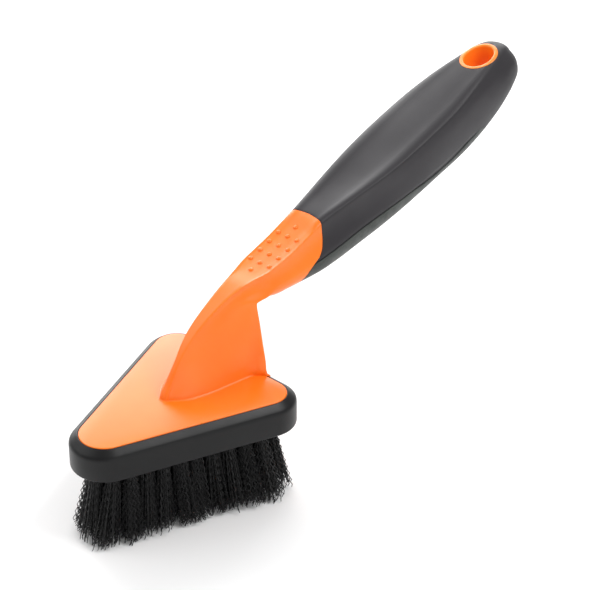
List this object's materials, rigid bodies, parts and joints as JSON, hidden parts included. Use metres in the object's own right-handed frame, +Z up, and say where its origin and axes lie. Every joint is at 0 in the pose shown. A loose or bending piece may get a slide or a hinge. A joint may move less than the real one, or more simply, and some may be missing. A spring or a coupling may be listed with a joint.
{
  "type": "tire brush",
  "caption": "Hand brush with a triangular bristled head, a soft bumper round it, a wedge neck with a dotted thumb rest, and a soft-grip handle with a hang hole",
  "frame": {"origin": "middle of the overall box at the height of the filament tips, which the brush stands on", "axes": "+X from the nose of the head to the tail of the handle, +Y across the head, +Z up, out of the flat top of the head"},
  "size_m": [0.2642, 0.0782, 0.1347],
  "materials": {
    "orange_body": "orange moulded polypropylene, fine satin texture",
    "bumper_rubber": "black soft rubber, satin",
    "grip_rubber": "charcoal soft-touch rubber, satin",
    "pad_rubber": "grained grey soft rubber, matt",
    "filament": "black crimped filament"
  },
  "bodies": {
    "root": {"body": "orange_body", "head_bumper": "bumper_rubber", "grip": "grip_rubber", "underside_pad": "pad_rubber", "tuft_01": "filament", "tuft_02": "filament", "tuft_03": "filament", "tuft_04": "filament", "tuft_05": "filament", "tuft_06": "filament", "tuft_07": "filament", "tuft_08": "filament", "tuft_09": "filament", "tuft_10": "filament", "tuft_11": "filament", "tuft_12": "filament", "tuft_13": "filament", "tuft_14": "filament", "tuft_15": "filament", "tuft_16": "filament", "tuft_17": "filament", "tuft_18": "filament", "tuft_19": "filament", "tuft_20": "filament", "tuft_21": "filament", "tuft_22": "filament", "tuft_23": "filament", "tuft_24": "filament", "tuft_25": "filament", "tuft_26": "filament", "tuft_27": "filament", "tuft_28": "filament", "tuft_29": "filament", "tuft_30": "filament", "tuft_31": "filament", "tuft_32": "filament", "tuft_33": "filament", "tuft_34": "filament", "tuft_35": "filament", "tuft_36": "filament", "tuft_37": "filament", "tuft_38": "filament", "tuft_39": "filament", "tuft_40": "filament", "tuft_41": "filament", "tuft_42": "filament", "tuft_43": "filament", "tuft_44": "filament", "tuft_45": "filament", "tuft_46": "filament", "tuft_47": "filament", "tuft_48": "filament", "tuft_49": "filament", "tuft_50": "filament", "tuft_51": "filament", "tuft_52": "filament", "tuft_53": "filament", "tuft_54": "filament"}
  },
  "joints": []
}
